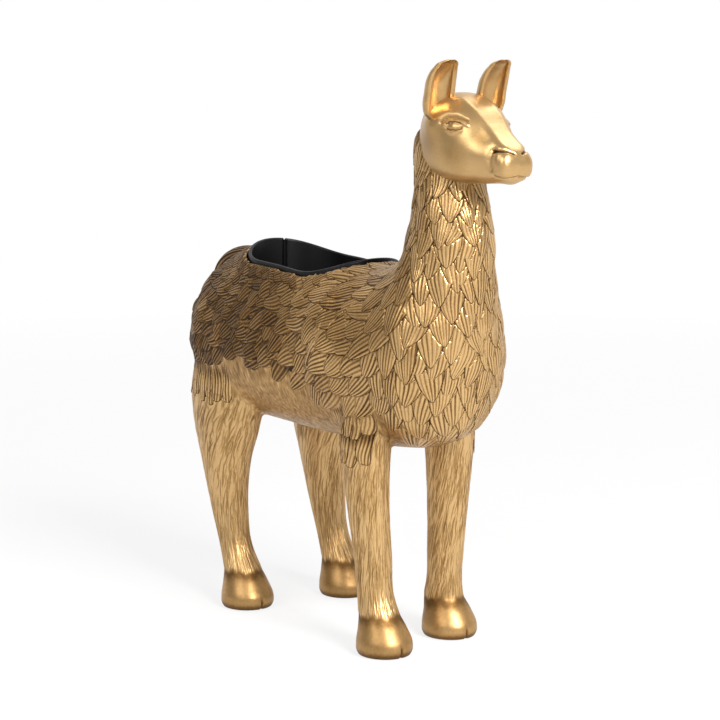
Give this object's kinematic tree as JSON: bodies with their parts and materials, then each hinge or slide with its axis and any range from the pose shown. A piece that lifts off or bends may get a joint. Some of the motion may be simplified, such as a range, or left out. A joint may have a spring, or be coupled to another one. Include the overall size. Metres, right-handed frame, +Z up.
{
  "type": "animal shaped planter",
  "caption": "Standing llama figure cast as a planter: its open back holds a lift-out oval liner for a small potted plant.",
  "frame": {"origin": "bottom centre of the whole object's bounding box, on the ground under the feet", "axes": "+X forward to the head, +Y to the animal's left, +Z up"},
  "size_m": [0.2942, 0.1118, 0.3447],
  "materials": {
    "antique_gold": "cast resin, metallic antique gold paint with a dark wash left in the grooves",
    "brushed_gold": "cast resin, metallic gold paint rubbed smooth with a faint brushed grain",
    "liner_black": "satin black sheet",
    "felt": "dark felt"
  },
  "bodies": {
    "casting": {"torso_shell": "antique_gold", "head": "brushed_gold", "left_ear": "brushed_gold", "right_ear": "brushed_gold", "tail": "antique_gold", "front_left_leg": "antique_gold", "front_right_leg": "antique_gold", "rear_left_leg": "antique_gold", "rear_right_leg": "antique_gold", "foot_pads": "felt"},
    "liner": {"liner_wall": "liner_black", "liner_floor": "liner_black"}
  },
  "joints": [
    {"name": "liner_lift", "type": "slide", "parent": "casting", "child": "liner", "axis": [0, 0, 1], "range_m": [0, 0.12]}
  ]
}
